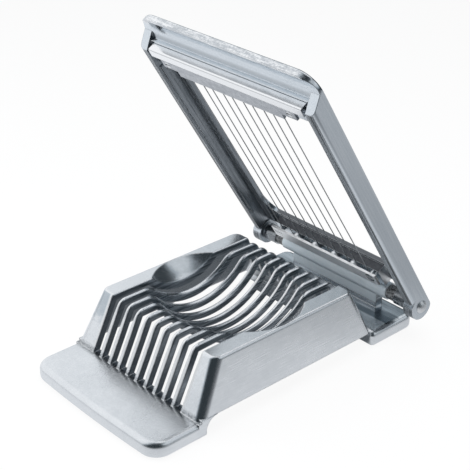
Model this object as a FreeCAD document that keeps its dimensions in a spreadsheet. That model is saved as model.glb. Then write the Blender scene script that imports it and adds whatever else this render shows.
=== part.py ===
"""Wire egg slicer: a hollow slotted base with an egg cradle, and a hinged frame that carries one taut wire.

The base stands on its front and rear tabs. The frame is drawn level with the hinge axis as its own X axis,
and every piece that it carries is then swung up by open_angle about that axis.
Axes: X across the slots, Y from the front tab to the hinge, Z up, origin under the middle of the base.
"""
import FreeCAD, Part
import os
import re
from FreeCAD import Placement, Rotation, Vector

doc = FreeCAD.newDocument("egg_slicer")

# Driving dimensions in millimetres and degrees
DIMENSIONS = [
    ("base_length", 129.0, "front edge of the front tab to rear edge of the rear tab"),
    ("tab_thickness", 6.2, "both tabs, floor to top"),
    ("front_corner", 7.0, "plan radius of the front tab corners"),
    ("front_bow", 1.0, "how far the front edge bows out between its corners"),
    ("rear_corner", 4.0, "plan radius of the rear tab corners"),
    ("tab_round", 2.2, "round along the upper edges of the tabs"),
    ("foot_round", 1.8, "round along the lower edges of the tabs"),
    ("waist_corner", 2.0, "plan radius where the rear tab starts behind the block"),
    ("tab_rim", 4.5, "wall left round the hollow under each tab"),
    ("tab_skin", 3.0, "metal left above that hollow"),
    ("root_reach", 3.0, "how far a tab runs in under the block"),
    ("waist_inset", 8.5, "rear tab under the block inside its full width"),
    ("block_height", 26.4, "floor to the flat top of the block"),
    ("front_run", 10.0, "how far the front slope leans, foot to top"),
    ("rear_run", 8.7, "how far the rear slope leans, foot to top"),
    ("side_run", 3.2, "how far each side leans, foot to top"),
    ("side_top", 7.1, "flat top of a side wall, outer edge to first slot"),
    ("block_corner", 3.5, "round of the four leaning corners of the block"),
    ("block_round", 1.3, "round of the upper edges of the block"),
    ("shell", 2.6, "metal of the block, cradle and ribs"),
    ("skirt_rise", 1.0, "lower edge of the side walls above the tab tops"),
    ("skirt_round", 5.0, "hollow round from a side wall down to a tab"),
    ("slot_pitch", 5.1, "one rib to the next"),
    ("slot_pairs", 5, "half the number of slots"),
    ("rib_width", 1.6, "a rib between two slots"),
    ("rib_shoulder", 4.0, "round of the ribs from each slope onto the flat top"),
    ("rear_sill", 4.5, "solid foot of the rear slope under the slots"),
    ("cradle_depth", 13.6, "egg hollow below the flat top"),
    ("cradle_rise", 16.2, "middle line of the egg above the flat top"),
    ("cradle_shoulder", 6.0, "round of the ribs from the flat top into the egg hollow"),
    ("cradle_flat", 8.3, "flat left in front of and behind the egg hollow"),
    ("cradle_margin", 0.6, "least flat left beside the egg hollow"),
    ("hinge_setback", 6.8, "hinge axis in front of the rear edge"),
    ("hinge_rise", 8.9, "hinge axis above the tab tops"),
    ("barrel_radius", 3.4, "hinge barrel on the base"),
    ("barrel_inset", 7.0, "barrel end inside the edge of the tab"),
    ("web_inset", 12.3, "wall under the barrel inside the edge of the tab"),
    ("web_thickness", 3.6, "wall under the barrel, front to rear"),
    ("axle_radius", 1.5, "hinge axle"),
    ("axle_play", 0.05, "radial clearance of the axle in the barrel"),
    ("axle_seat", 0.02, "radial clearance of the axle in the ears"),
    ("axle_head", 2.6, "radius of the riveted axle heads"),
    ("axle_dome", 1.5, "height of the riveted axle heads"),
    ("open_angle", 58.4, "frame above level as it stands"),
    ("rail_gap", 4.6, "tab edge to the inside of a rail"),
    ("rail_wall", 3.9, "rail, inside to outside"),
    ("rail_height", 7.85, "rail, underside to top"),
    ("frame_above", 4.75, "hinge axis to the top of the level frame"),
    ("plate", 1.75, "top plate of the frame"),
    ("flange", 3.2, "top plate inward of a rail"),
    ("frame_corner", 8.0, "plan radius of the front corners of the frame"),
    ("rail_lead", 5.7, "top front end of a rail behind the lip"),
    ("opening_corner", 8.0, "plan radius of the corners of the opening"),
    ("bead_height", 1.9, "bead along the inside of a rail"),
    ("bead_depth", 0.6, "how far that bead stands out"),
    ("bead_lift", 1.1, "bead above the underside of the rail"),
    ("ear_radius", 5.2, "round rear end of a rail about the axle"),
    ("boss_radius", 3.4, "boss from a rail inward round the axle"),
    ("rail_round", 1.8, "round of the lower outer edge of a rail"),
    ("frame_round", 1.0, "round of the upper outer edge of the frame"),
    ("collar", 4.0, "hinge collar, barrel to boss"),
    ("collar_radius", 2.9, "hinge collar, outside"),
    ("collar_play", 0.15, "gap at each face of a collar"),
    ("lip_overhang", 0.65, "lip in front of the front tab when closed"),
    ("lip_height", 2.95, "front face of the lip"),
    ("lip_width", 1.15, "lower edge of the lip"),
    ("cove_rise", 1.1, "hollow of the finger cove"),
    ("cove_depth", 10.6, "lip front to the face of the cover bar"),
    ("cover_depth", 3.5, "cover bar, front to rear"),
    ("cover_height", 3.2, "cover bar, underside to top"),
    ("cover_inset", 0.9, "cover bar behind the casting above it"),
    ("cover_round", 0.8, "round of the lower front edge of the cover bar"),
    ("end_gap", 1.4, "gap beside each end of the cover bar"),
    ("holder_inset", 6.1, "front holder shorter than the rails are apart, each end"),
    ("seat_gap", 0.1, "gap between pieces held side by side"),
    ("holder", 1.0, "thickness of the two wire holders"),
    ("holder_gap", 1.6, "room for the wire between holder and casting"),
    ("holder_edge", 0.05, "front holder in front of the wire loops on it"),
    ("holder_margin", 1.0, "rear holder wider than the wire loops on it"),
    ("foot_gap", 1.15, "front holder to the foot of the front slope"),
    ("bar_swing", 1.1, "rear bar clear of the barrel"),
    ("bar_heel", 3.4, "rear bar behind the rear holder"),
    ("opening_lead", 1.1, "top plate beyond the two holders"),
    ("rear_gap", 1.9, "frame opening behind the foot of the rear slope"),
    ("bar_margin", 3.2, "rear bar and rear holder beyond the end screws"),
    ("wire", 0.4, "diameter of the cutting wire"),
    ("loop_split", 0.25, "front loops wider than half a pitch, rear loops narrower"),
    ("peg_play", 0.05, "wire beside the peg or screw that it goes round"),
    ("screw_radius", 1.25, "shank of the holder screws"),
    ("screw_head", 2.1, "radius of the screw heads"),
    ("screw_head_height", 0.55, "height of the screw heads, sunk flush in the holder"),
    ("screw_depth", 2.6, "screw in the casting"),
    ("screw_play", 0.05, "radial clearance of the screws"),
    ("screw_slot", 0.6, "width of the driver slot, twice its depth"),
    ("front_screw_inset", 2.9, "front screws from the ends of the front holder"),
    ("front_screw_radius", 0.8, "shank of the two front screws"),
    ("front_screw_head", 1.4, "radius of the two front screw heads"),
    ("lug_depth", 3.5, "screw lugs at the ends of the front holder, front to rear"),
    ("lug_start", 3.0, "front holder at full depth beyond the outermost wire"),
]

sheet = doc.addObject("Spreadsheet::Sheet", "Sizes")
for row, (alias, number, meaning) in enumerate(DIMENSIONS, start=1):
    sheet.set(f"A{row}", meaning)
    sheet.set(f"B{row}", str(number))
    sheet.setAlias(f"B{row}", alias)
doc.recompute()


def size(alias):
    return float(sheet.get(alias))


PAIRS = int(round(size("slot_pairs")))

# Places that follow from the driving dimensions, each a formula of the sheet
# Names ending in u are reached from the hinge axis along the level frame, names ending in h lie above the axis
PLACES = {
    "half_base": "base_length / 2",
    "slots_half": "(2 * slot_pairs * slot_pitch - rib_width) / 2",
    "top_half": "{slots_half} + side_top",
    "tab_half": "{top_half} + side_run",
    "bow_radius": "({tab_half} * {tab_half} + front_bow * front_bow) / (2 * front_bow)",
    "hinge_y": "{half_base} - hinge_setback",
    "hinge_z": "tab_thickness + hinge_rise",
    "front_tab": "cove_depth + cover_depth + seat_gap + {front_holder} + foot_gap - lip_overhang",
    "front_foot": "-{half_base} + {front_tab}",
    "front_top": "{front_foot} + front_run",
    "rear_foot": "{hinge_y} - {opening_rear_u} - rear_gap",
    "rear_top": "{rear_foot} - rear_run",
    "block_rise": "block_height - tab_thickness",
    "front_slant": "(front_run * front_run + {block_rise} * {block_rise}) ^ 0.5",
    "rear_slant": "(rear_run * rear_run + {block_rise} * {block_rise}) ^ 0.5",
    "front_round_y": "{front_top} + rib_shoulder * {block_rise} / ({front_slant} + front_run)",
    "rear_round_y": "{rear_top} - rib_shoulder * {block_rise} / ({rear_slant} + rear_run)",
    "front_round_z": "block_height - rib_shoulder * (1 - front_run / {front_slant})",
    "rear_round_z": "block_height - rib_shoulder * (1 - rear_run / {rear_slant})",
    "skirt_z": "tab_thickness + skirt_rise",
    "arch_front": "{front_foot} + root_reach",
    "boss_in": "{barrel_half} + collar + 2 * collar_play",
    "cradle_y": "({front_top} + {rear_top}) / 2",
    "cradle_x_radius": "{top_half} - cradle_margin",
    "cradle_spread": "(1 - (cradle_rise / (cradle_depth + cradle_rise)) ^ 2) ^ (0 - 0.5)",
    "outer_slot_x": "(slot_pairs - 0.5) * slot_pitch",
    "cradle_y_radius": "({rear_top} - {front_top}) / 2 - cradle_flat",
    "barrel_half": "{tab_half} - barrel_inset",
    "rail_in": "{tab_half} + rail_gap",
    "rail_out": "{rail_in} + rail_wall",
    "opening_half": "{rail_in} - flange",
    "lip_u": "base_length - hinge_setback + lip_overhang",
    "cover_u": "{lip_u} - cove_depth",
    "cover_back_u": "{cover_u} - cover_depth",
    "holder_front_u": "{cover_back_u} - seat_gap",
    "front_holder": "2 * {front_loop} + wire / 2 + holder_edge",
    "holder_back_u": "{holder_front_u} - {front_holder}",
    "front_peg_u": "{holder_back_u} + {front_loop}",
    "rear_holder": "2 * {rear_loop} + holder_margin",
    "opening_front_u": "{holder_back_u} - opening_lead",
    "bar_back_u": "barrel_radius + bar_swing",
    "rear_holder_back_u": "{bar_back_u} + bar_heel",
    "rear_holder_front_u": "{rear_holder_back_u} + {rear_holder}",
    "rear_peg_u": "{rear_holder_front_u} - {rear_loop}",
    "opening_rear_u": "{rear_holder_front_u} + opening_lead",
    "low_h": "frame_above - rail_height",
    "seat_h": "{low_h} + holder + holder_gap",
    "wire_h": "{low_h} + holder + holder_gap / 2",
    "plate_h": "frame_above - plate",
    "lip_low_h": "frame_above - lip_height",
    "cover_top_h": "{low_h} + cover_height",
    "cove_half": "(cove_depth - lip_width - cover_inset - 0.5) / 2",
    "cove_radius": "({cove_half} * {cove_half} + cove_rise * cove_rise) / (2 * cove_rise)",
    "front_loop": "slot_pitch / 2 + loop_split",
    "rear_loop": "slot_pitch / 2 - loop_split",
    "end_loop": "screw_radius + peg_play + wire / 2",
    "end_screw_x": "(slot_pairs - 1) * slot_pitch + {front_loop} + {end_loop}",
    "rear_bar_half": "{end_screw_x} + bar_margin",
    "cover_half": "{rail_in} - end_gap",
    "front_holder_half": "{rail_in} - holder_inset",
    "front_screw_x": "{front_holder_half} - front_screw_inset",
    "front_screw_u": "{holder_front_u} - lug_depth / 2",
    "front_strip_half": "(slot_pairs - 1) * slot_pitch + {front_loop} + lug_start",
    "cap_sphere": "(axle_head * axle_head + axle_dome * axle_dome) / (2 * axle_dome)",
}
BRACKETED = {name: f"({text})" for name, text in PLACES.items()}


def formula(text):
    while "{" in text:
        text = text.format_map(BRACKETED)
    return re.sub(r"[a-z]\w*", lambda word: word[0] if word[0] in ("asin", "deg") else "Sizes." + word[0], text)


def bind(item, **rules):
    for name, text in rules.items():
        item.setExpression(name, formula(text))
    return item


def at(item, x="0", y="0", z="0"):
    for axis, text in (("x", x), ("y", y), ("z", z)):
        item.setExpression("Placement.Base." + axis, formula(text))
    return item


def box(name, x, y, z):
    item = doc.addObject("Part::Box", name)
    for side, (low, high) in zip(("Length", "Width", "Height"), (x, y, z)):
        item.setExpression(side, formula(f"({high}) - ({low})"))
    return at(item, x[0], y[0], z[0])


def middle_box(name, half, y, z):
    return box(name, (f"-({half})", half), y, z)


def along(name, half, u, h):
    # A block of the level frame, right across it, between two reaches from the hinge
    return middle_box(name, half, (f"-({u[1]})", f"-({u[0]})"), h)


def rod_x(name, radius, x, y="0", z="0"):
    item = bind(doc.addObject("Part::Cylinder", name), Radius=radius, Height=f"({x[1]}) - ({x[0]})")
    item.Placement = Placement(Vector(), Rotation(Vector(0, 1, 0), 90))
    return at(item, x[0], y, z)


def post(name, radius, x, y, z):
    item = bind(doc.addObject("Part::Cylinder", name), Radius=radius, Height=f"({z[1]}) - ({z[0]})")
    return at(item, x, y, z[0])


def tapered(name, low, high, low_x, low_y, high_x, high_y):
    # A block whose sides lean, from one rectangle at a low level to another at a high level
    item = doc.addObject("Part::Wedge", name)
    bind(item, Ymin=low, Ymax=high, Xmin=low_x[0], Xmax=low_x[1], X2min=high_x[0], X2max=high_x[1])
    bind(item, Zmin=f"-({low_y[1]})", Zmax=f"-({low_y[0]})", Z2min=f"-({high_y[1]})", Z2max=f"-({high_y[0]})")
    item.Placement = Placement(Vector(), Rotation(Vector(1, 0, 0), 90))
    return item


def ellipsoid(name, grow):
    item = doc.addObject("Part::Ellipsoid", name)
    bind(item, Radius1=f"cradle_depth + cradle_rise + {grow}")
    bind(item, Radius2=f"{{cradle_x_radius}} * {{cradle_spread}} + {grow}")
    bind(item, Radius3=f"{{cradle_y_radius}} * {{cradle_spread}} + {grow}")
    return at(item, "0", "{cradle_y}", "block_height + cradle_rise")


def fuse(name, *items):
    item = doc.addObject("Part::MultiFuse", name)
    item.Shapes = list(items)
    item.Refine = True
    return item


def cut(name, base, *tools):
    item = doc.addObject("Part::Cut", name)
    item.Base = base
    item.Tool = tools[0] if len(tools) == 1 else fuse(name + "_tools", *tools)
    item.Refine = True
    return item


def common(name, *items):
    item = doc.addObject("Part::MultiCommon", name)
    item.Shapes = list(items)
    return item


def rounded(name, base, radius, wanted, chained=False):
    # A chain of edges that run smoothly into each other is rounded from its first edge
    doc.recompute()
    item = doc.addObject("Part::Fillet", name)
    item.Base = base
    bounds = FreeCAD.BoundBox()
    for vertex in base.Shape.Vertexes:
        bounds.add(vertex.Point)
    chosen = []
    for number, edge in enumerate(base.Shape.Edges, start=1):
        ends = [vertex.Point for vertex in edge.Vertexes]
        if wanted(ends[0], ends[-1], bounds):
            chosen.append((number, size(radius), size(radius)))
    item.Edges = chosen[:1] if chained else chosen
    return item


def upright(first, last):
    return abs(first.x - last.x) < 1e-4 and abs(first.y - last.y) < 1e-4


def level(first, last, height):
    return abs(first.z - height) < 1e-4 and abs(last.z - height) < 1e-4


def group(name, *items):
    item = doc.addObject("Part::Compound", name)
    item.Links = list(items)
    item.Label = name
    return item


def hang(name, *items):
    # A piece that the frame carries, swung up about the hinge axis
    item = group(name, *items)
    item.Placement = Placement(Vector(), Rotation(Vector(1, 0, 0), -size("open_angle")))
    item.setExpression("Placement.Rotation.Angle", formula("-open_angle"))
    return at(item, "0", "{hinge_y}", "{hinge_z}")


NODES = []

# Block of the base: leaning walls, egg hollow, and a cavity that leaves one even thickness of metal
outer = tapered("block_outer", "tab_thickness", "block_height",
                ("-{tab_half}", "{tab_half}"), ("{front_foot}", "{rear_foot}"),
                ("-{top_half}", "{top_half}"), ("{front_top}", "{rear_top}"))
outer = rounded("block_corners", outer, "block_corner",
                lambda first, last, bounds: abs(first.z - last.z) > 1.0)
outer = rounded("block_edges", outer, "block_round",
                lambda first, last, bounds: level(first, last, bounds.ZMax), chained=True)
cavity = tapered("block_cavity", "tab_thickness", "block_height - shell",
                 ("-({tab_half} - shell)", "{tab_half} - shell"),
                 ("{front_foot} + 1.1 * shell", "{rear_foot} - 1.1 * shell"),
                 ("-({top_half} - shell)", "{top_half} - shell"),
                 ("{front_top} - front_run * shell / {block_rise} + 1.1 * shell",
                  "{rear_top} + rear_run * shell / {block_rise} - 1.1 * shell"))
hollow = cut("cavity_round_cradle", cavity, ellipsoid("cradle_underside", "shell"))
block = cut("block_cradle", outer, ellipsoid("cradle", "0"))

# Between the two outermost slots the ribs run into the egg hollow over a round shoulder, the side walls over an edge
ribbed = doc.addObject("Part::Common", "block_ribbed")
ribbed.Base = block
ribbed.Tool = middle_box("ribbed_part", "{outer_slot_x}", ("{front_foot} - 5", "{rear_foot} + 5"), ("0", "block_height + 5"))
walls = cut("block_walls", block, middle_box("ribbed_gap", "{outer_slot_x}", ("{front_foot} - 5", "{rear_foot} + 5"),
                                             ("0", "block_height + 5")))
ribbed = rounded("ribbed_shoulders", ribbed, "cradle_shoulder",
                 lambda first, last, bounds: level(first, last, bounds.ZMax) and abs(first.x - last.x) > 1.0
                 and min(abs(first.y - bounds.YMin), abs(first.y - bounds.YMax)) > size("front_run") + size("block_round") + 2.0)
block = cut("block_shell", fuse("block_rounded", walls, ribbed), hollow)

# Side skirts: a short leg down to the front tab, then arched over all the way to the rear corner
legs = []
arches = []
for side, sign in (("right", 1), ("left", -1)):
    inner = "{tab_half} - shell"
    across = (inner, "{tab_half}") if sign > 0 else ("-{tab_half}", f"-({inner})")
    wide = (inner, "{tab_half} + 5") if sign > 0 else ("-{tab_half} - 5", f"-({inner})")
    legs.append(box(f"front_leg_{side}", across,
                    ("{front_foot} + skirt_rise", "{arch_front} + skirt_round"), ("tab_thickness / 2", "{skirt_z}")))
    arch = box(f"arch_{side}", wide, ("{arch_front}", "{rear_foot} + 5"), ("-5", "{skirt_z}"))
    arches.append(rounded(f"arch_round_{side}", arch, "skirt_round",
                          lambda first, last, bounds: level(first, last, bounds.ZMax)
                          and abs(first.y - last.y) < 1e-4 and first.y < bounds.YMin + 1e-4))
block = cut("block_arched", fuse("block_with_legs", block, *legs), *arches)

# Tabs: rounded plates, hollow underneath, that carry the block and the hinge
front_plate = middle_box("front_plate", "{tab_half}", ("-{half_base} - 1", "{front_foot} - 0.3"),
                         ("0", "tab_thickness"))
front_bow = post("front_bow_disc", "{bow_radius}", "0", "{bow_radius} - {half_base}", ("-1", "tab_thickness + 1"))
front_plate = common("front_plate_bowed", front_plate, front_bow)
front_plate = rounded("front_plate_plan", front_plate, "front_corner",
                      lambda first, last, bounds: upright(first, last) and first.y < bounds.YMin + 1e-4)
for edge, radius in (("top", "tab_round"), ("foot", "foot_round")):
    front_plate = rounded(f"front_plate_{edge}", front_plate, radius,
                          lambda first, last, bounds: level(first, last, bounds.ZMax if edge == "top" else bounds.ZMin)
                          and min(first.y, last.y) < bounds.YMax - 1e-4, chained=True)
front_root = middle_box("front_root", "{tab_half}", ("{front_foot} - 0.3", "{arch_front}"), ("0", "tab_thickness"))
front_root = rounded("front_root_foot", front_root, "foot_round",
                     lambda first, last, bounds: level(first, last, bounds.ZMin) and abs(first.x - last.x) < 1e-4)
rear_plate = middle_box("rear_plate", "{tab_half}", ("{rear_foot} - 0.2", "{half_base}"), ("0", "tab_thickness"))
rear_plate = rounded("rear_plate_plan", rear_plate, "rear_corner",
                     lambda first, last, bounds: upright(first, last) and first.y > bounds.YMax - 1e-4)
rear_plate = rounded("rear_plate_waist", rear_plate, "waist_corner",
                     lambda first, last, bounds: upright(first, last) and first.y < bounds.YMin + 1e-4)
for edge, radius in (("top", "tab_round"), ("foot", "foot_round")):
    rear_plate = rounded(f"rear_plate_{edge}", rear_plate, radius,
                         lambda first, last, bounds: level(first, last, bounds.ZMax if edge == "top" else bounds.ZMin),
                         chained=True)
rear_root = middle_box("rear_root", "{tab_half} - waist_inset", ("{rear_foot} - root_reach", "{rear_foot} + 4"),
                       ("0", "tab_thickness"))
front_hollow = middle_box("front_hollow", "{tab_half} - tab_rim", ("-{half_base} + tab_rim", "{front_foot} - 1"),
                          ("-1", "tab_thickness - tab_skin"))
rear_hollow = middle_box("rear_hollow", "{tab_half} - tab_rim", ("{rear_foot} + tab_rim", "{half_base} - tab_rim"),
                         ("-1", "tab_thickness - tab_skin"))

# Hinge: a barrel on a low wall that stands on the rear tab
web = middle_box("hinge_web", "{tab_half} - web_inset",
                 ("{hinge_y} - web_thickness / 2", "{hinge_y} + web_thickness / 2"),
                 ("tab_thickness - 0.5", "{hinge_z}"))
barrel = rod_x("hinge_barrel", "barrel_radius", ("-{barrel_half}", "{barrel_half}"), "{hinge_y}", "{hinge_z}")
bore = rod_x("hinge_bore", "axle_radius + axle_play", ("-{tab_half} - 5", "{tab_half} + 5"),
             "{hinge_y}", "{hinge_z}")

# Slots: one long cut for each, open at the front slope and over a sill at the rear slope
slots = []
for number in range(2 * PAIRS):
    centre = f"({number} - slot_pairs + 0.5) * slot_pitch"
    across = (f"{centre} - (slot_pitch - rib_width) / 2", f"{centre} + (slot_pitch - rib_width) / 2")
    slots.append(box(f"slot_{number + 1:02d}", across, ("{front_foot} - 1", "{rear_top} - shell"),
                     ("tab_thickness", "block_height + 1")))
    slots.append(box(f"slot_rear_{number + 1:02d}", across, ("{rear_top} - shell - 1", "{rear_foot} + 1"),
                     ("tab_thickness + rear_sill", "block_height + 1")))
# Rib shoulders: the corner of every rib between a slope and the flat top, outside a round that meets both
shoulders = []
for end, reach in (("front", ("{front_top} - rib_shoulder", "{front_round_y}")),
                   ("rear", ("{rear_round_y}", "{rear_top} + rib_shoulder"))):
    corner = middle_box(f"{end}_shoulder_corner", "{slots_half} - 0.5", reach,
                        (f"{{{end}_round_z}}", "block_height + 1"))
    bend = rod_x(f"{end}_shoulder_bend", "rib_shoulder", ("-{slots_half}", "{slots_half}"),
                 f"{{{end}_round_y}}", "block_height - rib_shoulder")
    shoulders.append(cut(f"{end}_shoulder", corner, bend))
base = fuse("base_body", block, front_plate, front_root, rear_plate, rear_root, web, barrel)
base = cut("base_cut", base, bore, front_hollow, rear_hollow, *slots, *shoulders)
NODES.append(group("base_casting", base))

# Cutting frame: top plate with a big opening, two rails with ears, a coved front bar and a rear bar
top_plate = along("top_plate", "{rail_out}", ("{bar_back_u}", "{lip_u}"), ("{plate_h}", "frame_above"))
opening = along("opening", "{opening_half}", ("{opening_rear_u}", "{opening_front_u}"),
                ("{plate_h} - 0.4", "frame_above + 1"))
opening = rounded("opening_round", opening, "opening_corner",
                  lambda first, last, bounds: upright(first, last))
solids = [cut("plate_open", top_plate, opening)]
for side, sign in (("right", 1), ("left", -1)):
    rail = ("{rail_in}", "{rail_out}") if sign > 0 else ("-{rail_out}", "-{rail_in}")
    bar = tapered(f"rail_{side}", "{low_h}", "frame_above",
                  rail, ("-({cover_u} - 1.2)", "0"), rail, ("-({lip_u} - rail_lead)", "0"))
    solids.append(rounded(f"rail_round_{side}", bar, "rail_round",
                          lambda first, last, bounds: level(first, last, bounds.ZMin)
                          and abs(first.x - last.x) < 1e-4 and abs(first.x) > max(bounds.XMax, -bounds.XMin) - 1e-4))
    bead = ("{rail_in} - bead_depth", "{rail_in} + 0.5")
    bead = bead if sign > 0 else (f"-({bead[1]})", f"-({bead[0]})")
    solids.append(box(f"bead_{side}", bead, ("-({opening_front_u})", "-({opening_rear_u})"),
                      ("{low_h} + bead_lift", "{low_h} + bead_lift + bead_height")))
    for name, radius, inner in (("ear", "ear_radius", "{rail_in} - bead_depth"), ("boss", "boss_radius", "{boss_in}")):
        ends = (inner, "{rail_out}") if sign > 0 else ("-{rail_out}", f"-({inner})")
        solids.append(rod_x(f"{name}_{side}", radius, ends))
solids.append(along("front_beam", "{rail_in} + 0.5", ("{holder_back_u} - 0.2", "{cover_u} + cover_inset"),
                    ("{cover_top_h} + seat_gap", "frame_above")))
solids.append(along("front_seat", "{rail_in} + 0.5", ("{holder_back_u} - 0.2", "{holder_front_u}"),
                    ("{seat_h}", "frame_above")))
lip = along("lip", "{rail_out}", ("{cover_u} + cover_inset - 0.5", "{lip_u}"), ("{lip_low_h}", "frame_above"))
cove = rod_x("cove", "{cove_radius}", ("-{rail_out} - 5", "{rail_out} + 5"),
             "-({lip_u} - lip_width - {cove_half})", "{lip_low_h} + cove_rise - {cove_radius}")
solids.append(cut("lip_coved", lip, cove))
solids.append(along("rear_bar", "{rear_bar_half}", ("{bar_back_u}", "{rear_holder_front_u}"),
                    ("{seat_h}", "frame_above")))
outline = along("frame_outline", "{rail_out}", ("-ear_radius - 1", "{lip_u}"), ("-20", "frame_above"))
outline = rounded("frame_outline_round", outline, "frame_corner",
                  lambda first, last, bounds: upright(first, last) and first.y < bounds.YMin + 1e-4)
outline = rounded("frame_outline_edge", outline, "frame_round",
                  lambda first, last, bounds: level(first, last, bounds.ZMax)
                  and min(first.y, last.y) < bounds.YMax - 1e-4, chained=True)
frame = common("frame_body", fuse("frame_solids", *solids), outline)
frame_holes = [rod_x("axle_hole", "axle_radius + axle_seat", ("-{rail_out} - 1", "{rail_out} + 1"))]

# Screws: each goes through its holder into the casting, with a driver slot across the head
SCREWS = {
    "front": ("{front_screw_x}", "{front_screw_u}", "front_screw_radius", "front_screw_head"),
    "rear": ("{end_screw_x}", "{rear_peg_u}", "screw_radius", "screw_head"),
}
screws = {}
screw_holes = {}
for end, (reach_x, reach_u, radius, wide) in SCREWS.items():
    screws[end] = []
    screw_holes[end] = []
    for side, sign in (("right", ""), ("left", "-")):
        name = f"{end}_{side}"
        x = f"{sign}({reach_x})"
        y = f"-({reach_u})"
        face = "{low_h} + screw_head_height"
        shank = post(f"shank_{name}", radius, x, y, ("{low_h} + screw_head_height / 2", "{seat_h} + screw_depth"))
        head = post(f"head_{name}", wide, x, y, ("{low_h}", face))
        slot = box(f"driver_{name}", (f"{x} - {wide}", f"{x} + {wide}"),
                   (f"{y} - screw_slot / 2", f"{y} + screw_slot / 2"), ("{low_h}", "{low_h} + screw_slot / 2"))
        screws[end].append(cut(f"screw_{name}", fuse(f"screw_body_{name}", shank, head), slot))
        sink = post(f"screw_sink_{name}", f"{wide} + screw_play", x, y, ("{low_h} - 1", face))
        hole = post(f"screw_hole_{name}", f"{radius} + screw_play", x, y,
                    ("{low_h}", "{seat_h} + screw_depth + 0.3"))
        screw_holes[end] += [sink, hole]
frame = cut("frame_cut", frame, *frame_holes, *screw_holes["front"], *screw_holes["rear"])
NODES.append(hang("frame_casting", frame))

# Axle: a rod through both ears and the barrel, with a domed head outside each ear
heads = []
for side, turn in (("right", 90), ("left", -90)):
    cap = doc.addObject("Part::Sphere", f"axle_cap_{side}")
    bind(cap, Radius="{cap_sphere}", Angle1="asin(({cap_sphere} - axle_dome) / {cap_sphere})")
    cap.Placement = Placement(Vector(), Rotation(Vector(0, 1, 0), turn))
    sign = "" if side == "right" else "-"
    heads.append(at(cap, f"{sign}({{rail_out}} + axle_dome - {{cap_sphere}})"))
axle = rod_x("axle_rod", "axle_radius", ("-{rail_out}", "{rail_out}"))
NODES.append(hang("hinge_axle", fuse("axle_body", axle, *heads)))

# Collars: dark rings on the axle between the barrel and the bosses, stiff enough to hold the frame where it is put
for side, sign in (("left", -1), ("right", 1)):
    ends = ("{barrel_half} + collar_play", "{boss_in} - collar_play")
    ends = ends if sign > 0 else (f"-({ends[1]})", f"-({ends[0]})")
    ring = cut(f"collar_{side}", rod_x(f"collar_body_{side}", "collar_radius", ends),
               rod_x(f"collar_bore_{side}", "axle_radius + axle_seat", (f"{ends[0]} - 1", f"{ends[1]} + 1")))
    NODES.append(hang(f"hinge_collar_{side}", ring))

# Cover bar: the polished strip that closes the front of the wire holder
cover = along("cover_block", "{cover_half}", ("{cover_back_u}", "{cover_u}"), ("{low_h}", "{cover_top_h}"))
cover = rounded("cover_rounded", cover, "cover_round",
                lambda first, last, bounds: level(first, last, bounds.ZMin)
                and abs(first.y - bounds.YMin) < 1e-4 and abs(last.y - bounds.YMin) < 1e-4)
NODES.append(hang("front_cover_bar", cover))

# Wire holders: flat strips with round pegs that stand up to the casting, the wire going round the pegs
HOLDERS = {
    "front": ("{front_strip_half}", ("{holder_back_u}", "{holder_front_u}"), "{front_peg_u}", "{front_loop}", PAIRS),
    "rear": ("{rear_bar_half}", ("{rear_holder_back_u}", "{rear_holder_front_u}"), "{rear_peg_u}", "{rear_loop}",
             PAIRS - 1),
}
for end, (half, reach, peg_u, loop, count) in HOLDERS.items():
    solids = [along(f"{end}_strip", half, reach, ("{low_h}", "{low_h} + holder"))]
    if end == "front":
        solids.append(along("front_lugs", "{front_holder_half}", ("{holder_front_u} - lug_depth", "{holder_front_u}"),
                            ("{low_h}", "{low_h} + holder")))
    loops = []
    for number in range(count):
        x = f"(2 * {number} - {count - 1}) * slot_pitch"
        solids.append(post(f"{end}_peg_{number + 1}", loop + " - wire / 2 - peg_play", x, f"-({peg_u})",
                           ("{low_h} + holder / 2", "{seat_h}")))
        half_turn = bind(doc.addObject("Part::Torus", f"{end}_loop_{number + 1}"), Radius1=loop, Radius2="wire / 2")
        half_turn.Angle3 = 180
        half_turn.Placement = Placement(Vector(), Rotation(Vector(0, 0, 1), 180 if end == "front" else 0))
        loops.append(at(half_turn, x, f"-({peg_u})", "{wire_h}"))
    holder = cut(f"{end}_holder_cut", fuse(f"{end}_holder_body", *solids), *screw_holes[end])
    NODES.append(hang(f"{end}_wire_holder", holder))
    NODES.append(hang(f"{end}_holder_screws", *screws[end]))
    if end == "rear":
        for side, sign in (("right", ""), ("left", "-")):
            hook = bind(doc.addObject("Part::Torus", f"end_hook_{side}"), Radius1="{end_loop}", Radius2="wire / 2")
            hook.Angle3 = 180
            loops.append(at(hook, f"{sign}({{end_screw_x}})", f"-({peg_u})", "{wire_h}"))
    NODES.append(hang(f"{end}_wire_loops", *loops))

# Straight runs of the wire between the loops, one for each slot
for number in range(2 * PAIRS):
    peg_x = f"(2 * {number // 2} - slot_pairs + 1) * slot_pitch"
    x = peg_x + (" - {front_loop}" if number % 2 == 0 else " + {front_loop}")
    run = bind(doc.addObject("Part::Cylinder", f"run_{number + 1:02d}"), Radius="wire / 2",
               Height="{front_peg_u} - {rear_peg_u}")
    run.Placement = Placement(Vector(), Rotation(Vector(1, 0, 0), 90))
    NODES.append(hang(f"wire_run_{number + 1:02d}", at(run, x, "-({rear_peg_u})", "{wire_h}")))

doc.recompute()

for item in doc.Objects:
    states = set(item.State)
    if states & {"Invalid", "Error"}:
        raise RuntimeError(f"{item.Name} did not compute: {item.State}")

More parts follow.
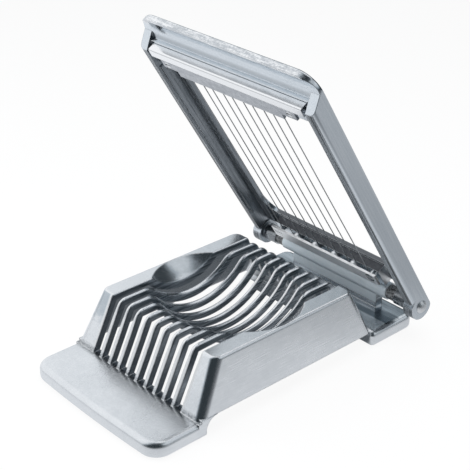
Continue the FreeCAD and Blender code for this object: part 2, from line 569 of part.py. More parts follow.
os.makedirs("parts", exist_ok=True)
for node in NODES:
    shape = node.Shape
    if shape.isNull() or not shape.isValid() or not shape.Solids:
        raise RuntimeError(f"{node.Label} has no sound solid")
    shape.exportStep(f"parts/{node.Label}.step")
    bounds = shape.optimalBoundingBox()
    print(f"{node.Label}: {len(shape.Solids)} solid, volume {shape.Volume:.1f},",
          f"x {bounds.XMin:.2f} {bounds.XMax:.2f} y {bounds.YMin:.2f} {bounds.YMax:.2f}",
          f"z {bounds.ZMin:.2f} {bounds.ZMax:.2f}")
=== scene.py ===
import math

import bmesh
import bpy
from mathutils import Matrix, Vector


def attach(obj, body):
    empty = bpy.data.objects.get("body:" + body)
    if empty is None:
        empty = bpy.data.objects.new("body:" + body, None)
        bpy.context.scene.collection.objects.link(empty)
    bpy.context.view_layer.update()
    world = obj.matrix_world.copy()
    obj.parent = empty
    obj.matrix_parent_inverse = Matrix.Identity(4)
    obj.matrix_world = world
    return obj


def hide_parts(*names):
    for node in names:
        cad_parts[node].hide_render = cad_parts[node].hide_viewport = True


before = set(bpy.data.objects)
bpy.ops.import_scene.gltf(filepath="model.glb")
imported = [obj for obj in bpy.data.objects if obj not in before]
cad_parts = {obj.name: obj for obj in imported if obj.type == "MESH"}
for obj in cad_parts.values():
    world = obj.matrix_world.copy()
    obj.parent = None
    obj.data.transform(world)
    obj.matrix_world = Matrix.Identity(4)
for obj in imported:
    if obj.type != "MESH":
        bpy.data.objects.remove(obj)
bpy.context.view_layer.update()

# Base casting: a slotted block with an egg hollow between two flat tabs.
# One piece of cast aluminium, die cast, then ground along its sides and tumbled bright.
# It stands loose on the table and carries the hinge barrel at its rear edge.


class Reading:
    """One value of a node tree. Sums on it become nodes of the same tree."""

    def __init__(self, finish, socket):
        self.finish = finish
        self.socket = socket

    def worked(self, operation, first, second):
        return self.finish.node("ShaderNodeMath", {"operation": operation}, {0: first, 1: second})

    def __add__(self, other):
        return self.worked("ADD", self, other)

    def __radd__(self, other):
        return self.worked("ADD", other, self)

    def __sub__(self, other):
        return self.worked("SUBTRACT", self, other)

    def __rsub__(self, other):
        return self.worked("SUBTRACT", other, self)

    def __mul__(self, other):
        return self.worked("MULTIPLY", self, other)

    def __rmul__(self, other):
        return self.worked("MULTIPLY", other, self)

    def __abs__(self):
        return self.worked("ABSOLUTE", self, 0.0)

    def greater(self, other):
        return self.worked("MAXIMUM", self, other)

    def along(self, axis):
        return self.finish.node("ShaderNodeSeparateXYZ", {}, {0: self}, out=axis)

    def dot(self, other):
        return self.finish.node("ShaderNodeVectorMath", {"operation": "DOT_PRODUCT"},
                                {0: self, 1: other}, out="Value")


class Finish:
    """One node tree, filled through one method."""

    def __init__(self, tree):
        self.tree = tree
        self.tree.nodes.clear()

    def node(self, kind, settings=None, sockets=None, out=0):
        made = self.tree.nodes.new(kind)
        for name, value in (settings or {}).items():
            setattr(made, name, value)
        for name, value in (sockets or {}).items():
            if isinstance(value, list):
                for one in value:
                    self.tree.links.new(one.socket, made.inputs[name])
            elif isinstance(value, Reading):
                self.tree.links.new(value.socket, made.inputs[name])
            else:
                made.inputs[name].default_value = value
        return Reading(self, made.outputs[out]) if len(made.outputs) else None

    def ramp(self, reading, low, high, start=0.0, end=1.0):
        return self.node("ShaderNodeMapRange", {"interpolation_type": "SMOOTHSTEP"},
                         {"Value": reading, "From Min": low, "From Max": high,
                          "To Min": start, "To Max": end})

    def blend(self, amount, first, second):
        return self.node("ShaderNodeMix", {"data_type": "RGBA"},
                         {0: amount, 6: first, 7: second}, out=2)

    def noise(self, size, turn=(0.0, 0.0, 0.0), detail=2.0, rough=0.5):
        place = self.node("ShaderNodeTexCoord", out="Object")
        laid = self.node("ShaderNodeMapping", {"vector_type": "TEXTURE"},
                         {"Vector": place, "Rotation": turn, "Scale": size})
        return self.node("ShaderNodeTexNoise", {},
                         {"Vector": laid, "Scale": 1.0, "Detail": detail, "Roughness": rough})


def metal(name):
    """A new material and the finish that fills it."""
    material = bpy.data.materials.new(name)
    material.use_nodes = True
    return material, Finish(material.node_tree)


def soft_edge(finish, radius):
    """The surface with its corners eased, and how far each place is worn round."""
    first_wear = 0.01
    full_wear = 0.16
    soft = finish.node("ShaderNodeBevel", {"samples": 6}, {"Radius": radius})
    flat = finish.node("ShaderNodeNewGeometry", out="Normal")
    return soft, finish.ramp(1.0 - soft.dot(flat), first_wear, full_wear)


def lay_metal(finish, colour, roughness, height, soft, depth, metallic=1.0):
    """Joins a colour, a polish and a relief into the surface of a material."""
    bump = finish.node("ShaderNodeBump", {},
                       {"Strength": 1.0, "Distance": depth, "Height": height, "Normal": soft})
    shader = finish.node("ShaderNodeBsdfPrincipled", {},
                         {"Base Color": colour, "Metallic": metallic,
                          "Roughness": roughness, "Normal": bump})
    finish.node("ShaderNodeOutputMaterial", {}, {"Surface": shader})


def clean_copy(node, name, material, body, eased=None, ease=0.0):
    """A solid as one joined skin with smooth rounds and crisp corners, and chosen edges eased."""
    same_place = 0.000002
    no_length = 0.000001
    nearly_flat = math.radians(0.15)
    crisp = math.radians(22.0)
    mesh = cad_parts[node].data.copy()
    mesh.name = name
    skin = bmesh.new()
    skin.from_mesh(mesh)
    bmesh.ops.remove_doubles(skin, verts=skin.verts, dist=same_place)
    bmesh.ops.dissolve_degenerate(skin, edges=skin.edges, dist=no_length)
    bmesh.ops.dissolve_limit(skin, angle_limit=nearly_flat, verts=skin.verts, edges=skin.edges)
    if eased:
        chosen = [edge for edge in skin.edges
                  if len(edge.link_faces) == 2 and edge.is_convex and eased(edge)]
        bmesh.ops.bevel(skin, geom=chosen, offset=ease, offset_type="OFFSET", segments=5,
                        profile=0.5, affect="EDGES", loop_slide=True)
    skin.normal_update()
    for face in skin.faces:
        face.smooth = True
    for edge in skin.edges:
        edge.smooth = len(edge.link_faces) == 2 and edge.calc_face_angle() < crisp
    skin.to_mesh(mesh)
    skin.free()
    mesh.materials.clear()
    mesh.materials.append(material)
    piece = bpy.data.objects.new(name, mesh)
    bpy.context.scene.collection.objects.link(piece)
    weighted = piece.modifiers.new("even_faces", "WEIGHTED_NORMAL")
    weighted.keep_sharp = True
    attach(piece, body)
    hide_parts(node)


base_metal, finish = metal("tumbled_base_metal")
soft, worn = soft_edge(finish, 0.0007)
scratch = finish.noise((0.0003, 0.009, 0.0003), detail=3.0, rough=0.6)
pits = finish.noise((0.0006, 0.0007, 0.0006), detail=2.0, rough=0.55)
cloud = finish.noise((0.010, 0.016, 0.010), detail=3.0, rough=0.55)
mottle = finish.noise((0.0045, 0.0028, 0.0028), detail=4.0, rough=0.65)
# streaks for the painted reflection on the rear tab
painted_streak_noise = finish.noise((0.016, 0.0022, 0.004), detail=2.0, rough=0.5)
lines = finish.noise((0.01, 0.02, 0.0007), detail=2.0, rough=0.5)
place = finish.node("ShaderNodeTexCoord", out="Object")
facing = finish.node("ShaderNodeTexCoord", out="Normal")
sideways = place.along("X")
rearward = place.along("Y")
above_table = place.along("Z")
to_side = (0.7, 0.9)
to_front = (-0.45, -0.65)
to_top = (0.80, 0.97)
slots_edge = (0.0262, 0.0254)
left_margin = (-0.0258, -0.0264)
block_rear = (0.0495, 0.0505)
hollow_front = (-0.036, -0.026)
rear_tab_run = (0.049, 0.064)
crease_front = (-0.0462, -0.0444)
crease_rear = (-0.0424, -0.0432)
crease_top = (0.0086, 0.0068)
tab_top = (0.0078, 0.0070)
rib_foot = (0.0078, 0.0086)
wall_foot = (0.0080, 0.0090)
slope_rise = (0.009, 0.026)
deck_level = (0.0255, 0.0260)
side = finish.ramp(abs(facing.along("X")), *to_side)
front = finish.ramp(facing.along("Y"), *to_front)
upward = finish.ramp(facing.along("Z"), *to_top)
ribbed = finish.ramp(abs(sideways), *slots_edge)
behind_block = finish.ramp(rearward, *block_rear)
at_block = 1.0 - behind_block
low = finish.ramp(above_table, *tab_top)
slot = side * ribbed
tab = low * at_block
rear_tab = behind_block * low * upward
web = behind_block * finish.ramp(above_table, *wall_foot)
# painted highlight: the front faces of the ribs near white
crown = ribbed * front * finish.ramp(above_table, *rib_foot) * at_block
# painted highlight: upward faces at the top of the block lighter
deck = upward * finish.ramp(above_table, *deck_level)
# painted crease shade with speckled grime: a dark band where the front slope meets the tab
crease = finish.ramp(rearward, *crease_front) * finish.ramp(rearward, *crease_rear)
crease = crease * finish.ramp(above_table, *crease_top) * (1.0 - side)
in_hollow = finish.ramp(rearward, *hollow_front)
streak = scratch * (0.35 + side * 0.35) + pits * (0.45 - side * 0.25)
shade = finish.ramp(streak * 0.6 + cloud * 0.25 + mottle * 0.25, 0.34, 0.70)
# painted shade on the rear tab, darkest by the hinge wall and lighter towards its rear edge, with
# painted reflection streaks
tab_shade_and_streaks = finish.ramp(painted_streak_noise * 0.7 + finish.ramp(rearward, *rear_tab_run) * 0.3, 0.38, 0.72)
stria = finish.ramp(lines, 0.36, 0.64) * in_hollow + shade * 0.5 * (1.0 - in_hollow)
# painted shade: a mottled bluish darkening of the front faces along the left edge of the block, deeper
# higher up
slope_shade = finish.ramp(mottle * 0.6 + finish.ramp(above_table, *slope_rise) * 0.4, 0.36, 0.62)
slope_shade = slope_shade * finish.ramp(sideways, *left_margin) * front * at_block
cast = finish.blend(shade, (0.75, 0.775, 0.80, 1.0), (0.85, 0.87, 0.89, 1.0))
# painted light: a lighter bluish copy of the cast metal on the hinge wall and barrel, for the light they
# reflect
painted_light_wall = finish.blend(shade, (0.80, 0.90, 0.96, 1.0), (0.90, 0.96, 1.0, 1.0))
painted_tab_shade = finish.blend(tab_shade_and_streaks, (0.20, 0.235, 0.265, 1.0), (0.72, 0.77, 0.80, 1.0))
# painted shade: the slot walls between the ribs darker than the cast metal, streaked with striations
painted_shade_slot_wall = finish.blend(stria, (0.20, 0.23, 0.26, 1.0), (0.60, 0.64, 0.68, 1.0))
crease_shade_and_grime = (0.16, 0.175, 0.19, 1.0)
worn_edge = (0.92, 0.93, 0.94, 1.0)
painted_rib_highlight = (0.97, 0.975, 0.98, 1.0)
painted_slope_shade = (0.42, 0.48, 0.53, 1.0)
painted_deck_highlight = (0.94, 0.95, 0.96, 1.0)
colour = finish.blend(web, cast, painted_light_wall)
colour = finish.blend(rear_tab, colour, painted_tab_shade)
colour = finish.blend(crease * finish.ramp(pits, 0.30, 0.60, 0.85, 0.35), colour, crease_shade_and_grime)
colour = finish.blend(slot, colour, painted_shade_slot_wall)
colour = finish.blend(worn * 0.6, colour, worn_edge)
colour = finish.blend(crown * 0.9, colour, painted_rib_highlight)
colour = finish.blend(slope_shade * 0.75, colour, painted_slope_shade)
colour = finish.blend(deck * 0.35, colour, painted_deck_highlight)
roughness = 0.12 + side * 0.10 + tab * 0.05 + web * 0.32 + crown * 0.2
roughness = roughness + (1.0 - shade) * 0.09 + mottle * 0.06
relief = streak + mottle * 4.0 * (1.0 - side)
lay_metal(finish, colour, roughness, relief, soft, 0.000006, 1.0 - web * 0.6)
ribs_half = 0.0262
feet_top = 0.0075
rib_round = 0.00055
upright_wall = 0.95
corner_turn = math.radians(40.0)


def rib_edge(edge):
    """Whether an edge runs along the top of a rib, between its crown and a slot."""
    on_ribs = all(abs(end.co.x) < ribs_half and end.co.z > feet_top for end in edge.verts)
    one_wall = max(abs(face.normal.x) for face in edge.link_faces) > upright_wall
    return on_ribs and one_wall and edge.calc_face_angle() > corner_turn


clean_copy("base_casting", "base_block", base_metal, "base", rib_edge, rib_round)

# Cutting frame: a cast channel with two side rails, a front lip with a cove, and two ears at the rear.
# Cast aluminium like the base, ground along the rails, the lip left with a coarser cast grain.
# It turns with the axle held in its ears and stands open at rest.
open_angle = math.radians(58.4)
hinge = Vector((0.0, 0.0577, 0.0151))
swing = (-open_angle, 0.0, 0.0)
forward = Vector((0.0, -math.cos(open_angle), math.sin(open_angle)))
downward = Vector((0.0, -math.sin(open_angle), -math.cos(open_angle)))


def shut_place(finish):
    """Where a place of the frame lies from the hinge when the frame is swung level."""
    place = finish.node("ShaderNodeTexCoord", out="Object")
    return finish.node("ShaderNodeMapping", {"vector_type": "TEXTURE"},
                       {"Vector": place, "Location": hinge, "Rotation": swing})


frame_metal, finish = metal("ground_frame_metal")
soft, worn = soft_edge(finish, 0.0004)
scratch = finish.noise((0.00045, 0.020, 0.00045), swing, 3.0, 0.6)
pits = finish.noise((0.0007, 0.0007, 0.0007), swing, 2.0, 0.6)
cloud = finish.noise((0.012, 0.020, 0.012), swing, 3.0, 0.55)
drawn = finish.noise((0.0006, 0.05, 0.01), swing, 2.0, 0.5)
brushed = finish.noise((0.006, 0.0009, 0.0009), swing, 3.0, 0.6)
place = shut_place(finish)
facing = finish.node("ShaderNodeTexCoord", out="Normal")
from_middle = abs(place.along("X"))
from_hinge = place.along("Y")
to_side = (0.7, 0.9)
to_front = (0.85, 0.95)
to_foot = (0.7, 0.9)
lip_start = (-0.1175, -0.1205)
rail_inside = (0.0412, 0.0406)
rail_edge = (0.0390, 0.0396)
rail_front = (-0.1115, -0.1105)
flange_edge = (0.0350, 0.0356)
flange_front = (-0.1045, -0.1035)
rear_bar_front = (-0.0150, -0.0145)
bar_end_edge = (0.0345, 0.0335)
bar_end_front = (-0.0170, -0.0160)
boss_front = (-0.0042, -0.0036)
boss_edge = (0.0390, 0.0384)
side = finish.ramp(abs(facing.along("X")), *to_side)
lip = finish.ramp(from_hinge, *lip_start)
inside = side * finish.ramp(from_middle, *rail_inside)
rear_face = finish.ramp(facing.dot(forward), *to_front) * finish.ramp(from_hinge, *rear_bar_front)
flange = finish.ramp(from_middle, *flange_edge) * finish.ramp(from_hinge, *flange_front)
rail = finish.ramp(from_middle, *rail_edge) * finish.ramp(from_hinge, *rail_front)
rail_foot = finish.ramp(facing.dot(downward), *to_foot) * flange.greater(rail)
bar_end = side * finish.ramp(from_middle, *bar_end_edge) * finish.ramp(from_hinge, *bar_end_front)
boss = finish.ramp(from_hinge, *boss_front) * finish.ramp(from_middle, *boss_edge)
streak = scratch * (0.75 - lip * 0.5) + pits * (0.25 + lip * 0.5)
shade = finish.ramp(streak * 0.75 + cloud * 0.25, 0.36, 0.64)
grain = finish.ramp(brushed * 0.6 + pits * 0.4, 0.38, 0.64)
stripes = finish.ramp(drawn, 0.38, 0.62)
ground = finish.blend(shade * (0.5 + lip * 0.5), (0.66, 0.71, 0.755, 1.0), (0.79, 0.825, 0.86, 1.0))
# painted shade: the inner faces of the rails darker
painted_shade_inside = finish.blend(shade, (0.26, 0.29, 0.32, 1.0), (0.44, 0.47, 0.50, 1.0))
coarse_lip = finish.blend(grain, (0.54, 0.57, 0.60, 1.0), (0.94, 0.95, 0.96, 1.0))
# painted shade: the forward face of the rear bar near black
painted_shade_face = finish.blend(pits, (0.03, 0.033, 0.038, 1.0), (0.11, 0.115, 0.125, 1.0))
# painted shade: the bosses by the hinge darker, speckled
painted_shade_boss = finish.blend(pits, (0.08, 0.09, 0.10, 1.0), (0.42, 0.44, 0.46, 1.0))
# painted shade on the downward faces of the rails and flanges, with drawn stripes along them
shaded_striped_foot = finish.blend(stripes, (0.07, 0.08, 0.09, 1.0), (0.34, 0.37, 0.40, 1.0))
worn_edge = (0.92, 0.93, 0.94, 1.0)
# painted highlight: the end faces of the rear bar near white
painted_end_highlight = (0.95, 0.955, 0.96, 1.0)
colour = finish.blend(inside, ground, painted_shade_inside)
colour = finish.blend(lip, colour, coarse_lip)
colour = finish.blend(rear_face, colour, painted_shade_face)
colour = finish.blend(boss, colour, painted_shade_boss)
colour = finish.blend(worn * 0.6, colour, worn_edge)
colour = finish.blend(bar_end, colour, painted_end_highlight)
colour = finish.blend(rail_foot, colour, shaded_striped_foot)
roughness = 0.12 + (1.0 - shade) * (0.06 + lip * 0.10) + cloud * 0.05
roughness = roughness + (inside + rear_face + rail_foot) * 0.15
relief = scratch * (0.2 - lip * 0.2) + pits * lip * 1.2
lay_metal(finish, colour, roughness, relief, soft, 0.000006, 1.0 - rail_foot * 0.8)
clean_copy("frame_casting", "frame_channel", frame_metal, "cutting_frame")

# Hinge axle: a bright steel pin through both ears and the barrel, with a domed head outside each ear.
# Turned and polished, pressed into the ears.
axle_metal, finish = metal("turned_axle_steel")
soft, worn = soft_edge(finish, 0.0003)
rings = finish.noise((0.00025, 0.02, 0.02), detail=2.0, rough=0.5)
colour = finish.blend(rings, (0.82, 0.84, 0.86, 1.0), (0.94, 0.945, 0.95, 1.0))
lay_metal(finish, colour, 0.40 + rings * 0.12, rings, soft, 0.000004)
clean_copy("hinge_axle", "hinge_pin", axle_metal, "cutting_frame")

# Hinge collars: short dark rings on the axle between the barrel and the ears.
# Moulded plastic, scuffed grey where it rubs.
# They grip the pin, so that the frame stays where it is left.
collar_plastic, finish = metal("dark_collar_plastic")
soft, worn = soft_edge(finish, 0.0003)
grime = finish.noise((0.0006, 0.0006, 0.0006), detail=3.0, rough=0.6)
black = (0.03, 0.032, 0.035, 1.0)
scuffed = (0.30, 0.31, 0.32, 1.0)
colour = finish.blend(finish.ramp(grime, 0.35, 0.65), black, scuffed)
colour = finish.blend(worn * 0.5, colour, scuffed)
lay_metal(finish, colour, 0.30 + grime * 0.2, grime, soft, 0.00001, 0.0)
for end in ("left", "right"):
    clean_copy(f"hinge_collar_{end}", f"collar_{end}", collar_plastic, "cutting_frame")

# Wire holders: two flat strips with round pegs, one behind the front bar and one on the rear bar.
# Pressed steel, dull nickel plated, with fine rolling lines along each strip.
holder_metal, finish = metal("plated_holder_steel")
soft, worn = soft_edge(finish, 0.00025)
rolled = finish.noise((0.012, 0.0003, 0.0003), swing, 3.0, 0.6)
bloom = finish.noise((0.002, 0.002, 0.002), swing, 3.0, 0.6)
place = shut_place(finish)
below_strip = (-0.0008, -0.0011)
rear_half = (-0.06, -0.05)
peg = finish.ramp(place.along("Z"), *below_strip) * finish.ramp(place.along("Y"), *rear_half)
shade = finish.ramp(rolled * 0.6 + bloom * 0.4, 0.35, 0.65)
plated = finish.blend(shade, (0.37, 0.39, 0.42, 1.0), (0.52, 0.54, 0.57, 1.0))
# painted highlight: the pegs of the rear holder near white
painted_peg_highlight = finish.blend(bloom, (0.86, 0.87, 0.88, 1.0), (0.95, 0.955, 0.96, 1.0))
colour = finish.blend(peg, plated, painted_peg_highlight)
colour = finish.blend(worn * 0.5, colour, (0.80, 0.81, 0.83, 1.0))
lay_metal(finish, colour, 0.24 + (1.0 - shade) * 0.12 + peg * 0.10, rolled, soft, 0.000006)
for end in ("front", "rear"):
    clean_copy(f"{end}_wire_holder", f"{end}_peg_strip", holder_metal, "cutting_frame")

# Holder screws: slotted pan screws, two in each holder, sunk flush with the strip.
# Bright zinc plated steel, turned from rod, driven into the casting.


def tree_with(name, inputs):
    """An empty tree with named inputs and a geometry going out, its nodes and what is asked of it."""
    tree = bpy.data.node_groups.new(name, "GeometryNodeTree")
    for label, kind in inputs:
        tree.interface.new_socket(label, in_out="INPUT", socket_type=kind)
    tree.interface.new_socket("Geometry", in_out="OUTPUT", socket_type="NodeSocketGeometry")
    nodes = Finish(tree)
    asked = {label: nodes.node("NodeGroupInput", out=label) for label, kind in inputs}
    return tree, nodes, asked


def grown(name, tree, sizes, start=None):
    """Runs a tree with its sizes and gives the plain mesh that it makes."""
    bed = bpy.data.objects.new(name + "_bed", start or bpy.data.meshes.new(name + "_bed"))
    bpy.context.scene.collection.objects.link(bed)
    grower = bed.modifiers.new("grow", "NODES")
    grower.node_group = tree
    for item in tree.interface.items_tree:
        if item.in_out == "INPUT" and item.name in sizes:
            grower[item.identifier] = sizes[item.name]
    graph = bpy.context.evaluated_depsgraph_get()
    mesh = bpy.data.meshes.new_from_object(bed.evaluated_get(graph))
    mesh.name = name
    bpy.data.objects.remove(bed)
    piece = bpy.data.objects.new(name, mesh)
    bpy.context.scene.collection.objects.link(piece)
    return piece


screw_tree, nodes, asked = tree_with("slotted_screw_pair", (
    ("Head Radius", "NodeSocketFloat"), ("Head Height", "NodeSocketFloat"),
    ("Shank Radius", "NodeSocketFloat"), ("Shank Length", "NodeSocketFloat"),
    ("Slot Width", "NodeSocketFloat"), ("Spread", "NodeSocketFloat"),
    ("Seat", "NodeSocketVector"), ("Swing", "NodeSocketFloat"),
    ("Hinge", "NodeSocketVector"), ("Finish", "NodeSocketMaterial")))


def screw_round(sides, radius, depth, lift):
    """A round of a screw with its middle lifted off the seat."""
    turned = nodes.node("GeometryNodeMeshCylinder", {},
                        {"Vertices": sides, "Radius": radius, "Depth": depth})
    up = nodes.node("ShaderNodeCombineXYZ", {}, {"Z": lift})
    return nodes.node("GeometryNodeTransform", {}, {"Geometry": turned, "Translation": up})


slot_width = asked["Slot Width"]
head = screw_round(48, asked["Head Radius"], asked["Head Height"], asked["Head Height"] * 0.5)
shank = screw_round(32, asked["Shank Radius"], asked["Shank Length"],
                    asked["Shank Length"] * 0.5 + slot_width * 0.6)
bar = nodes.node("ShaderNodeCombineXYZ", {},
                 {"X": asked["Head Radius"] * 2.2, "Y": slot_width, "Z": slot_width})
groove = nodes.node("GeometryNodeMeshCube", {}, {"Size": bar})
slotted = nodes.node("GeometryNodeMeshBoolean", {"operation": "DIFFERENCE"},
                     {"Mesh 1": head, "Mesh 2": [groove]})
screw = nodes.node("GeometryNodeMeshBoolean", {"operation": "UNION"}, {"Mesh 2": [slotted, shank]})
near = nodes.node("ShaderNodeCombineXYZ", {}, {"X": asked["Spread"]})
far = nodes.node("ShaderNodeCombineXYZ", {}, {"X": asked["Spread"] * -1.0})
ends = nodes.node("GeometryNodeMeshLine", {"mode": "END_POINTS"},
                  {"Count": 2, "Start Location": far, "Offset": near})
pair = nodes.node("GeometryNodeInstanceOnPoints", {}, {"Points": ends, "Instance": screw})
pair = nodes.node("GeometryNodeTransform", {}, {"Geometry": pair, "Translation": asked["Seat"]})
lean = nodes.node("ShaderNodeCombineXYZ", {}, {"X": asked["Swing"]})
turn = nodes.node("FunctionNodeEulerToRotation", {}, {0: lean})
pair = nodes.node("GeometryNodeTransform", {},
                  {"Geometry": pair, "Rotation": turn, "Translation": asked["Hinge"]})
pair = nodes.node("GeometryNodeRealizeInstances", {}, {"Geometry": pair})
pair = nodes.node("GeometryNodeSetMaterial", {}, {"Geometry": pair, "Material": asked["Finish"]})
nodes.node("NodeGroupOutput", {}, {"Geometry": pair})

screw_metal, finish = metal("bright_screw_steel")
soft, worn = soft_edge(finish, 0.0002)
lathe = finish.noise((0.0003, 0.0003, 0.0003), swing, 2.0, 0.5)
colour = finish.blend(lathe, (0.58, 0.60, 0.62, 1.0), (0.80, 0.81, 0.82, 1.0))
lay_metal(finish, colour, 0.16 + lathe * 0.12, lathe, soft, 0.000006)
seat_level = -0.0031
for end, spread, out, head_radius, shank_radius in (("front", 0.0306, 0.1069, 0.0014, 0.0008),
                                                    ("rear", 0.0247, 0.0112, 0.0021, 0.00125)):
    screws = grown(f"{end}_slotted_screws", screw_tree, {
        "Head Radius": head_radius, "Head Height": 0.00055,
        "Shank Radius": shank_radius, "Shank Length": 0.0048,
        "Slot Width": 0.0006, "Spread": spread,
        "Seat": Vector((0.0, -out, seat_level)), "Swing": -open_angle,
        "Hinge": hinge, "Finish": screw_metal})
    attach(screws, "cutting_frame")
    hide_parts(f"{end}_holder_screws")

# Cutting wire: one length of hard steel wire strung to and fro between the two holders.
# Drawn stainless wire, hooked round a rear screw at each end and looped over every peg under tension.
wire_metal, finish = metal("drawn_wire_steel")
drawn = finish.noise((0.0002, 0.006, 0.0002), swing, 2.0, 0.5)
colour = finish.blend(drawn, (0.34, 0.35, 0.36, 1.0), (0.52, 0.53, 0.54, 1.0))
plain = finish.node("ShaderNodeNewGeometry", out="Normal")
lay_metal(finish, colour, 0.24 + drawn * 0.1, drawn, plain, 0.000003)
front_loops = 5
pitch = 0.0051
front_turn = 0.0028
rear_turn = 0.0023
hook_turn = 0.0015
front_peg = 0.1056
rear_peg = 0.0112
wire_level = -0.0013
hook_side = (front_loops - 1) * pitch + front_turn + hook_turn


def half_turn(middle, out, radius, way, steps=14):
    """Points of a half turn of wire round a peg, from left to right, bulging forward or back."""
    turned = []
    for step in range(steps + 1):
        angle = math.pi * step / steps
        turned.append((middle - radius * math.cos(angle), -out + way * radius * math.sin(angle)))
    return turned


path = half_turn(-hook_side, rear_peg, hook_turn, 1.0)
for loop in range(front_loops):
    across = (2 * loop - front_loops + 1) * pitch
    path += half_turn(across, front_peg, front_turn, -1.0)
    if loop < front_loops - 1:
        path += half_turn(across + pitch, rear_peg, rear_turn, 1.0)
path += half_turn(hook_side, rear_peg, hook_turn, 1.0)
turned_up = Matrix.Translation(hinge) @ Matrix.Rotation(-open_angle, 4, "X")
route = bpy.data.meshes.new("wire_route")
route.from_pydata([turned_up @ Vector((x, y, wire_level)) for x, y in path],
                  [(number, number + 1) for number in range(len(path) - 1)], [])
wire_tree, nodes, asked = tree_with("wire_on_route", (
    ("Route", "NodeSocketGeometry"), ("Thickness", "NodeSocketFloat"),
    ("Sides", "NodeSocketInt"), ("Finish", "NodeSocketMaterial")))
line = nodes.node("GeometryNodeMeshToCurve", {}, {"Mesh": asked["Route"]})
ring = nodes.node("GeometryNodeCurvePrimitiveCircle", {},
                  {"Resolution": asked["Sides"], "Radius": asked["Thickness"] * 0.5})
tube = nodes.node("GeometryNodeCurveToMesh", {},
                  {"Curve": line, "Profile Curve": ring, "Fill Caps": True})
tube = nodes.node("GeometryNodeSetShadeSmooth", {}, {"Geometry": tube})
tube = nodes.node("GeometryNodeRealizeInstances", {}, {"Geometry": tube})
tube = nodes.node("GeometryNodeSetMaterial", {}, {"Geometry": tube, "Material": asked["Finish"]})
nodes.node("NodeGroupOutput", {}, {"Geometry": tube})
wire = grown("cutting_wire", wire_tree, {"Thickness": 0.0004, "Sides": 12, "Finish": wire_metal}, route)
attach(wire, "cutting_frame")
wire_runs = [f"wire_run_{number:02d}" for number in range(1, 11)]
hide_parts("front_wire_loops", "rear_wire_loops", *wire_runs)

# Cover bar: a bright strip that closes the front of the wire holder under the cove.
# Extruded aluminium, polished lengthwise, pressed in against the front bar.
cover_metal, finish = metal("polished_cover_metal")
soft, worn = soft_edge(finish, 0.0003)
polish = finish.noise((0.02, 0.0003, 0.0003), swing, 3.0, 0.6)
colour = finish.blend(polish, (0.88, 0.89, 0.905, 1.0), (0.96, 0.965, 0.97, 1.0))
lay_metal(finish, colour, 0.10 + polish * 0.10, polish, soft, 0.000006)
clean_copy("front_cover_bar", "cover_strip", cover_metal, "cutting_frame")

# Studio: a plain pale floor, soft light from the left and above, and the camera of the photograph.
# The metal mirrors white screens on the left and overhead and a dim corner behind the camera.
# The floor is white to the eye and keeps a faint shadow under the piece.
# To the metal it glows with a painted shade, darker towards the rear right and the front, with a painted
# shadow under the piece.
reach = 3.0
floor_level = -0.0002
floor_mesh = bpy.data.meshes.new("floor")
floor_mesh.from_pydata([(-reach, -reach, 0), (reach, -reach, 0), (reach, reach, 0), (-reach, reach, 0)],
                       [], [(0, 1, 2, 3)])
floor_mesh.transform(Matrix.Translation((0, 0, floor_level)))
floor = bpy.data.objects.new("floor", floor_mesh)
bpy.context.scene.collection.objects.link(floor)
pale, finish = metal("pale_floor")
seen = finish.node("ShaderNodeLightPath", out="Is Camera Ray")
mirrored = finish.node("ShaderNodeLightPath", out="Is Glossy Ray")
mirrored = mirrored + finish.node("ShaderNodeLightPath", out="Is Transmission Ray")
place = finish.node("ShaderNodeTexCoord", out="Object")
right_of = place.along("X")
behind = place.along("Y")
rear_right = right_of * 0.6 + behind * 0.8
near_right = right_of * 0.7 - behind * 0.7
# painted shade on the floor as the metal mirrors it: darker towards the rear right and the front,
# darkest at the front right, and a painted shadow under the piece
painted_falloff = finish.ramp(rear_right, -0.14, 0.04, 0.98, 0.74) - finish.ramp(rear_right, 0.05, 0.125, 0.0, 0.33)
painted_falloff = painted_falloff + finish.ramp(rear_right, 0.14, 0.30, 0.0, 0.09)
painted_falloff = painted_falloff * finish.ramp(behind, -0.055, -0.13, 1.0, 0.60)
painted_corner_shade = finish.ramp(near_right, 0.06, 0.11)
under = finish.ramp(abs(right_of), 0.036, 0.030) * finish.ramp(behind, -0.050, -0.042)
under = under * finish.ramp(behind, 0.062, 0.054)
level = painted_falloff * (1.0 - painted_corner_shade * 0.75) * (1.0 - under * 0.88)
shown = finish.blend(level, (0.02, 0.03, 0.04, 1.0), (0.95, 0.97, 1.0, 1.0))
shown = finish.blend(seen, shown, (1.0, 1.0, 1.0, 1.0))
lit = finish.node("ShaderNodeBsdfDiffuse", {}, {"Color": (0.78, 0.79, 0.80, 1.0)})
glow = finish.node("ShaderNodeEmission", {}, {"Color": shown, "Strength": 1.0})
mixed = finish.node("ShaderNodeMixShader", {}, {0: seen * 0.92 + mirrored * 0.95, 1: lit, 2: glow})
finish.node("ShaderNodeOutputMaterial", {}, {"Surface": mixed})
floor_mesh.materials.append(pale)

world = bpy.data.worlds.new("studio")
bpy.context.scene.world = world
world.use_nodes = True
studio = Finish(world.node_tree)
way = studio.node("ShaderNodeTexCoord", out="Generated")


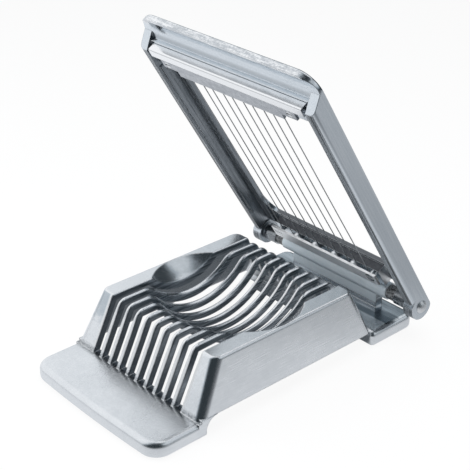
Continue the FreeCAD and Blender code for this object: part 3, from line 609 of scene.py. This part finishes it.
def screen(direction, outer, inner):
    """How near a direction is to the middle of a white screen, from 0 to 1."""
    return studio.ramp(way.dot(Vector(direction).normalized()), outer, inner)


left = screen((-0.836, -0.224, 0.50), 0.42, 0.80)
right = screen((0.71, 0.41, 0.57), 0.85, 0.95) * 0.75
over = screen((-0.07, 0.42, 0.905), 0.86, 0.93)
level = 0.05 + 0.95 * left.greater(over).greater(right)
room_light = 0.12
camera_ray = studio.node("ShaderNodeLightPath", out="Is Camera Ray")
mirror_ray = studio.node("ShaderNodeLightPath", out="Is Glossy Ray")
shown = room_light + mirror_ray * (level - room_light)
tone = studio.blend(level, (0.68, 0.86, 1.0, 1.0), (0.965, 0.98, 1.0, 1.0))
plain = studio.node("ShaderNodeBackground", {}, {"Color": (1.0, 1.0, 1.0, 1.0), "Strength": 1.0})
graded = studio.node("ShaderNodeBackground", {}, {"Color": tone, "Strength": shown})
sky = studio.node("ShaderNodeMixShader", {}, {0: camera_ray, 1: graded, 2: plain})
studio.node("ShaderNodeOutputWorld", {}, {"Surface": sky})

for name, spot, wide, power in (("left_lamp", (-0.36, -0.30, 0.36), 0.4, 1.8),
                                ("top_lamp", (0.05, 0.0, 0.50), 0.5, 3.1)):
    lamp_data = bpy.data.lights.new(name, "AREA")
    lamp_data.shape = "DISK"
    lamp_data.size = wide
    lamp_data.energy = power
    lamp = bpy.data.objects.new(name, lamp_data)
    lamp.location = spot
    lamp.rotation_euler = (-lamp.location).to_track_quat("-Z", "Y").to_euler()
    lamp.visible_glossy = False
    bpy.context.scene.collection.objects.link(lamp)

look_down = math.radians(27.8)
look_round = math.radians(48.03)
camera_data = bpy.data.cameras.new("camera")
camera_data.lens = 95.9
camera_data.sensor_width = 36.0
camera_data.clip_start = 0.01
camera = bpy.data.objects.new("camera", camera_data)
camera.location = (0.29513, -0.26224, 0.25692)
camera.rotation_euler = (math.pi / 2 - look_down, 0.0, look_round)
bpy.context.scene.collection.objects.link(camera)
bpy.context.scene.camera = camera
bpy.context.scene.view_settings.view_transform = "Standard"
